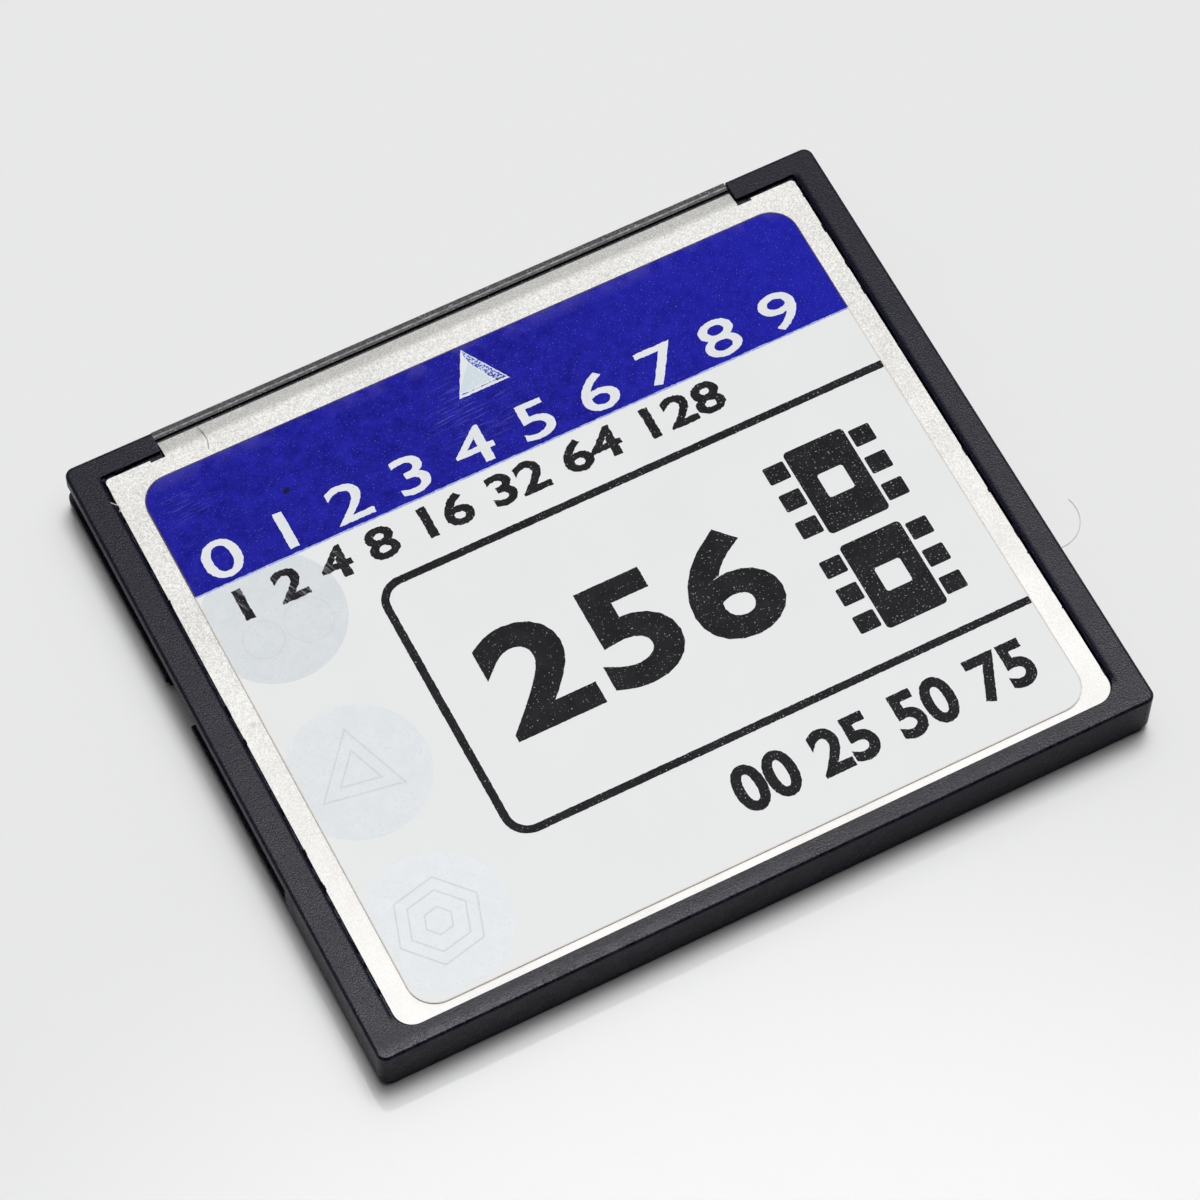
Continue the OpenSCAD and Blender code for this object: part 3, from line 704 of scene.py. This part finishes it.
def border_loops(shape):
    """Loops of points round the faces of a flat shape."""
    ahead = [edge for edge in shape.edges if edge.is_boundary]
    left = set(ahead)
    loops = []
    for first in ahead:
        if first in left:
            left.remove(first)
            start, vertex = first.verts
            loop = [start]
            while vertex is not start:
                loop.append(vertex)
                edge = next(edge for edge in vertex.link_edges if edge in left)
                left.remove(edge)
                vertex = edge.other_vert(vertex)
            loops.append([(v.co.x, v.co.y) for v in loop])
    return loops


def number_groups(text, box, weight, rough, spacing=1.0):
    """Groups of outlines of plain numbers that fill box: left, back, right, front."""
    shape = number_mesh(text, weight, spacing)
    loops = border_loops(shape)
    shape.free()
    xs = [x for loop in loops for x, _ in loop]
    ys = [y for loop in loops for _, y in loop]
    x0, y0 = min(xs), min(ys)
    left, back, right, front = box
    wide = (right - left) / (max(xs) - x0)
    tall = (front - back) / (max(ys) - y0)
    placed = [[(left + (x - x0) * wide, back + (y - y0) * tall) for x, y in loop] for loop in loops]
    groups = []
    for outer in placed:
        if not any(inside(outer[0], other) for other in placed if other is not outer):
            holes = [loop for loop in placed if loop is not outer and inside(loop[0], outer)]
            groups.append([roughened(loop, rough) for loop in [outer] + holes])
    return groups


def label_outline(inset, back):
    """Label's outline in front of the line back, moved in by inset."""
    left = LABEL["left"] + inset
    right = LABEL["right"] - inset
    front = LABEL["front"] - inset
    radius = LABEL_RADIUS - inset
    return ([(right, back)] + arc(right - radius, front - radius, radius, 0, 90)
            + arc(left + radius, front - radius, radius, 90, 180) + [(left, back)])


def print_rims(tan, brown):
    """Cut edge of the film: brown round the blue band, tan round the rest."""
    ends = LABEL["front"] + LABEL["back"]
    outer, inner = [[(x, ends - y) for x, y in label_outline(inset, ends - BAND_BACK)]
                    for inset in (0.0, CUT_EDGE)]
    print_piece("print_rim_back", [[outer + inner[::-1]]], RIM_TOP, tan)
    outline = label_outline(0.0, BAND_BACK) + label_outline(CUT_EDGE, BAND_BACK)[::-1]
    print_piece("print_rim_front", [[outline]], RIM_TOP, brown)


def print_band(blue, fringe):
    """Blue field over the front of the label, on a paler print that shows along its back edge."""
    outline = label_outline(CUT_EDGE, BAND_BACK)
    left = outline[-1][0]
    right = outline[0][0]
    steps = 200
    ragged = []
    for i in range(1, steps):
        x = left + (right - left) * i / steps
        ragged.append((x, BAND_BACK + DICE.uniform(-0.02, 0.02)))
    print_piece("print_band", [[outline + ragged]], BAND_TOP, blue)
    strip_box = rectangle(left, BAND_BACK - 0.09, right, BAND_BACK + 0.1)
    print_piece("print_band_fringe", [[roughened(strip_box, 0.015)]], RIM_TOP, fringe)


def print_arrow(white, stipple, pale):
    """Pale triangle that points to the socket, stippled along its right side and lined at its base."""
    left, right, base = ARROW_BASE
    middle, tip = ARROW_TIP
    whole = [(left, base), (right, base), (middle, tip)]
    side = [(right - 0.12, base + 0.08),
            (middle + 0.02, tip - 0.12),
            (middle - 0.02, tip - 0.7),
            (right - 0.7, base + 0.16)]
    line = [(left + 0.16, base + 0.14),
            (right - 0.3, base + 0.14),
            (right - 0.4, base + 0.21),
            (left + 0.18, base + 0.21)]
    inner = [(left + 0.14, base + 0.3),
             (right - 0.85, base + 0.3),
             (middle - 0.03, tip - 0.85)]
    print_piece("print_arrow", [[roughened(whole, 0.015)]], WHITE_TOP, white)
    strips = [[roughened(side, 0.03)], [roughened(line, 0.015)]]
    print_piece("print_arrow_strip", strips, WHITE_TOP + LAYER, stipple)
    print_piece("print_arrow_fill", [[roughened(inner, 0.02)]], WHITE_TOP + 2 * LAYER, pale)


def print_frame(material):
    """Black line that runs round three sides of the number and ends at the label's right edge."""
    right = LABEL["right"] - CUT_EDGE
    middle_x = FRAME_LEFT + FRAME_RADIUS
    front_y = FRAME_FRONT - FRAME_RADIUS
    back_y = FRAME_BACK + FRAME_RADIUS
    inner = FRAME_RADIUS - FRAME_LINE
    outline = ([(right, FRAME_FRONT)]
               + arc(middle_x, front_y, FRAME_RADIUS, 90, 180)
               + arc(middle_x, back_y, FRAME_RADIUS, 180, 270)
               + [(right, FRAME_BACK), (right, FRAME_BACK + FRAME_LINE)]
               + arc(middle_x, back_y, inner, 270, 180)
               + arc(middle_x, front_y, inner, 180, 90)
               + [(right, FRAME_FRONT - FRAME_LINE)])
    print_piece("print_frame", [[roughened(outline, 0.012)]], BLACK_TOP, material)


def chip_mark(x, y):
    """Outline groups of a plain chip sign: a block with a square hole and pins on two sides."""
    body = CHIP_HALF * 0.66
    hole = CHIP_HALF * 0.28
    groups = [[rounded_rectangle(x - body, y - CHIP_HALF, x + body, y + CHIP_HALF, 0.25),
               rounded_rectangle(x - hole, y - hole, x + hole, y + hole, 0.15)]]
    step = 2 * CHIP_HALF / CHIP_PINS
    half_pin = 0.3 * step
    for i in range(CHIP_PINS):
        pin_y = y - CHIP_HALF + step * (i + 0.5)
        for side in (-1, 1):
            near, far = sorted((x + side * (body + 0.16), x + side * (CHIP_HALF + 0.45)))
            groups.append([rounded_rectangle(near, pin_y - half_pin, far, pin_y + half_pin, 0.1)])
    return groups


def clipped_disc(x, y, radius):
    """Disc that stops at the label's left edge, its round corner and the blue band."""
    left = LABEL["left"] + CUT_EDGE
    corner_x = LABEL["left"] + LABEL_RADIUS
    corner_y = LABEL["back"] + LABEL_RADIUS
    reach = LABEL_RADIUS - CUT_EDGE
    points = []
    for px, py in circle(x, y, radius, 96):
        px = max(px, left)
        py = min(py, BAND_BACK)
        away = math.hypot(px - corner_x, py - corner_y)
        if px < corner_x and py < corner_y and away > reach:
            px = corner_x + (px - corner_x) * reach / away
            py = corner_y + (py - corner_y) * reach / away
        if not points or math.hypot(px - points[-1][0], py - points[-1][1]) > 0.01:
            points.append((px, py))
    return points


def print_discs(line_ink):
    """Three pale discs along the label's left edge, each with a faint plain figure."""
    for i, (x, y) in enumerate(DISC_CENTRES):
        dark, light, fleck = [tuple(c + DISC_FADE[i] for c in colour) for colour in DISC_COLOURS]
        faded = ink("pale_ink_%d" % (i + 1), dark, light, fleck, 0.6, grain_mm=0.13)
        print_piece("print_disc_%d" % (i + 1), [[clipped_disc(x, y, DISC_RADIUS)]], DISC_TOP, faded)
    line = 0.1
    figures = []
    x, y = DISC_CENTRES[0]
    for shift, radius in ((-1.0, 1.1), (1.5, 1.3)):
        figures.append([circle(x + shift, y - 0.9, radius), circle(x + shift, y - 0.9, radius - line)])
    x, y = DISC_CENTRES[1]
    for radius in (2.5, 1.3):
        figures.append([polygon(x, y, radius, 3, 80), polygon(x, y, radius - 2 * line, 3, 80)])
    x, y = DISC_CENTRES[2]
    for radius in (2.4, 1.7, 0.8):
        figures.append([polygon(x, y, radius, 6, 12), polygon(x, y, radius - line, 6, 12)])
    print_piece("print_disc_figures", figures, DISC_TOP + LAYER, line_ink)


def print_numbers(white, black):
    """Rows of plain numbers in place of the lettering, and the large number in the frame."""
    row = number_groups("0 1 2 3 4 5 6 7 8 9", WHITE_ROW, weight=0.008, rough=0.02)
    print_piece("print_row", row, WHITE_TOP, white)
    scale = number_groups("1 2 4 8 16 32 64 128", SCALE_ROW, weight=0.026, rough=0.028)
    print_piece("print_scale", scale, BLACK_TOP, black)
    number = number_groups("256", LARGE_NUMBER, weight=0.032, rough=0.01, spacing=1.1)
    print_piece("print_number", number, BLACK_TOP, black)
    lower = number_groups("00 25 50 75", LOWER_ROW, weight=0.032, rough=0.014, spacing=1.02)
    print_piece("print_lower_row", lower, BLACK_TOP, black)


def dress_label():
    """All print on the label."""
    white = ink("white_ink", (0.76, 0.78, 0.8), (0.8, 0.82, 0.83), (0.35, 0.38, 0.68), 0.72)
    black = black_ink()
    faint = ink("faint_ink", (0.64, 0.668, 0.688), (0.7, 0.728, 0.748), (0.74, 0.77, 0.78), 0.58)
    stipple = ink("stipple_ink", (0.03, 0.05, 0.42), (0.1, 0.14, 0.5), (0.62, 0.7, 0.82), 0.48)
    misty = ink("misty_ink", (0.6, 0.7, 0.75), (0.66, 0.75, 0.78), (0.75, 0.8, 0.85), 0.62)
    fringe = ink("fringe_ink", (0.3, 0.36, 0.7), (0.4, 0.47, 0.76), (0.65, 0.7, 0.8), 0.6)
    tan = ink("tan_edge", (0.64, 0.59, 0.5), (0.74, 0.7, 0.62), (0.78, 0.76, 0.72), 0.6)
    brown = ink("brown_edge", (0.05, 0.035, 0.05), (0.09, 0.07, 0.1), (0.3, 0.28, 0.3), 0.68)
    print_rims(tan, brown)
    print_band(blue_ink(), fringe)
    print_arrow(white, stipple, misty)
    print_frame(black)
    print_discs(faint)
    print_numbers(white, black)
    marks = [group for centre in CHIP_MARKS for group in chip_mark(*centre)]
    print_piece("print_chip_marks", marks, BLACK_TOP, black)


def add_flash():
    """Thin torn flash of the upper shell round the gap beside the top cover."""
    plastic = moulded_plastic(
        "torn_plastic", (0.001, 0.001, 0.002), (0.003, 0.003, 0.005),
        gloss=0.03, roughness=0.6, wear_and_highlight=(0.02, 0.02, 0.02))
    low = COVER["top"] - 0.12
    high = COVER["top"] + 0.04
    seam = 0.03
    rail_x = COVER["right"] + SIDE_GAP
    rail_back = COVER["back"] + 1.2
    block_y = SHOULDER_Y + SHOULDER_GAP
    block_from = TONGUE_X + 0.3
    block_to = rail_x - 0.3
    groups = []
    for side in (-1, 1):
        steps = torn_edge(rail_back, SHOULDER_Y, SIDE_GAP + 0.05)
        outline = [(side * (rail_x + seam), rail_back)]
        outline += [(side * (rail_x - reach), y) for y, reach in steps]
        outline += [(side * (rail_x + seam), SHOULDER_Y)]
        groups.append([outline])
        steps = torn_edge(block_from, block_to, 0.6 * SHOULDER_GAP)
        outline = [(side * block_from, block_y + seam)]
        outline += [(side * x, block_y - reach) for x, reach in steps]
        outline += [(side * block_to, block_y + seam)]
        groups.append([outline])
    card_piece("mould_flash", groups, low, high, plastic)


def add_dirt():
    """Hair on the cover's front edge and a fibre caught in the gap at the left."""
    dark = mineral("hair", (0.16, 0.14, 0.13), (0.24, 0.22, 0.2), 0.4, 0.05)
    light = mineral("fibre", (0.42, 0.4, 0.38), (0.55, 0.53, 0.5), 0.6, 0.05)
    steel = COVER["top"]
    card_piece("hair", [[strip(HAIR, 0.032)]], steel - 0.005, steel + 0.02, dark)
    card_piece("fibre", [[strip(FIBRE, 0.05)]], steel, LABEL["top"] + 0.02, light)


# Stage


def add_floor():
    """Pale glossy table with one loose hair on it."""
    shape = bmesh.new()
    bmesh.ops.create_grid(shape, x_segments=1, y_segments=1, size=TABLE_HALF)
    mesh = bpy.data.meshes.new("floor")
    shape.to_mesh(mesh)
    shape.free()
    material = new_material("table")
    where = place(material)
    clouds = ramp(material, noise(material, where, 60.0, 2.0), 0.3, 0.7)
    base = blend_colors(material, clouds, (0.825, 0.828, 0.828), (0.832, 0.835, 0.835))
    feed(material, base, "Base Color")
    shader_of(material).inputs["Roughness"].default_value = 0.05
    shader_of(material).inputs["Specular IOR Level"].default_value = 0.1
    link_piece("floor", mesh, material)
    pale = mineral("loose_hair", (0.5, 0.5, 0.5), (0.58, 0.58, 0.58), 0.5, 0.05)
    curl = strip(arc(22.6, -5.6, 1.7, -95, 20), 0.05)
    link_piece("loose_hair", flat_mesh("loose_hair", [[curl]], 0.0, 0.03), pale)


def add_camera():
    """Camera at the photograph's place."""
    data = bpy.data.cameras.new("camera")
    data.lens = LENS
    data.sensor_width = SENSOR
    data.clip_start = 0.01
    data.clip_end = 20.0
    camera = bpy.data.objects.new("camera", data)
    bpy.context.scene.collection.objects.link(camera)
    stand = Vector(CAMERA_AT) * MM
    aim = Vector(CAMERA_AIM) * MM
    turn = (aim - stand).to_track_quat("-Z", "Y").to_matrix().to_4x4()
    camera.matrix_world = Matrix.Translation(stand) @ turn @ Matrix.Rotation(CAMERA_LEAN, 4, "Z")
    bpy.context.scene.camera = camera


def sky_share(world, direction, towards, start, end):
    """Share that rises from 0 to 1 as a direction's cosine to another goes from start to end."""
    match = add_node(world, "ShaderNodeVectorMath", direction)
    match.operation = "DOT_PRODUCT"
    match.inputs[1].default_value = Vector(towards).normalized()
    share = world.node_tree.nodes.new("ShaderNodeMapRange")
    share.interpolation_type = "SMOOTHSTEP"
    share.inputs["From Min"].default_value = start
    share.inputs["From Max"].default_value = end
    world.node_tree.links.new(match.outputs["Value"], share.inputs["Value"])
    return share.outputs["Result"]


def lamp_glow(world, direction):
    """Strength of the overhead lamp and of the glow round it."""
    rings = []
    for full, end, strength in (LAMP, GLOW):
        start = math.cos(math.radians(end))
        stop = math.cos(math.radians(full))
        ring = sky_share(world, direction, LAMP_TOWARDS, start, stop)
        rings.append(calculate(world, "MULTIPLY", ring, strength))
    return calculate(world, "ADD", *rings)


def add_room():
    """Overhead lamp and dim room. Reflections see a pale room that is dark on the camera's side."""
    world = bpy.data.worlds.new("room")
    world.use_nodes = True
    bpy.context.scene.world = world
    tree = world.node_tree
    direction = tree.nodes.new("ShaderNodeTexCoord").outputs["Generated"]
    dark_side = sky_share(world, direction, DARK_SIDE, *DARK_FADE)
    open_side = calculate(world, "SUBTRACT", 1.0, dark_side)
    path = tree.nodes.new("ShaderNodeLightPath")
    seen = calculate(world, "MAXIMUM", path.outputs["Is Camera Ray"], path.outputs["Is Glossy Ray"])
    seen = calculate(world, "MAXIMUM", seen, path.outputs["Is Transmission Ray"])
    level = calculate(world, "MULTIPLY", seen, ROOM_SEEN - ROOM_LIGHT)
    level = calculate(world, "ADD", level, ROOM_LIGHT)
    level = calculate(world, "MULTIPLY", level, open_side)
    total = calculate(world, "ADD", level, lamp_glow(world, direction))
    background = tree.nodes["Background"]
    background.inputs["Color"].default_value = (1, 1, 1, 1)
    tree.links.new(total, background.inputs["Strength"])


add_camera()
add_floor()
add_room()
dress_nodes()
dress_label()
add_flash()
add_dirt()
bpy.context.scene.view_settings.view_transform = "Standard"
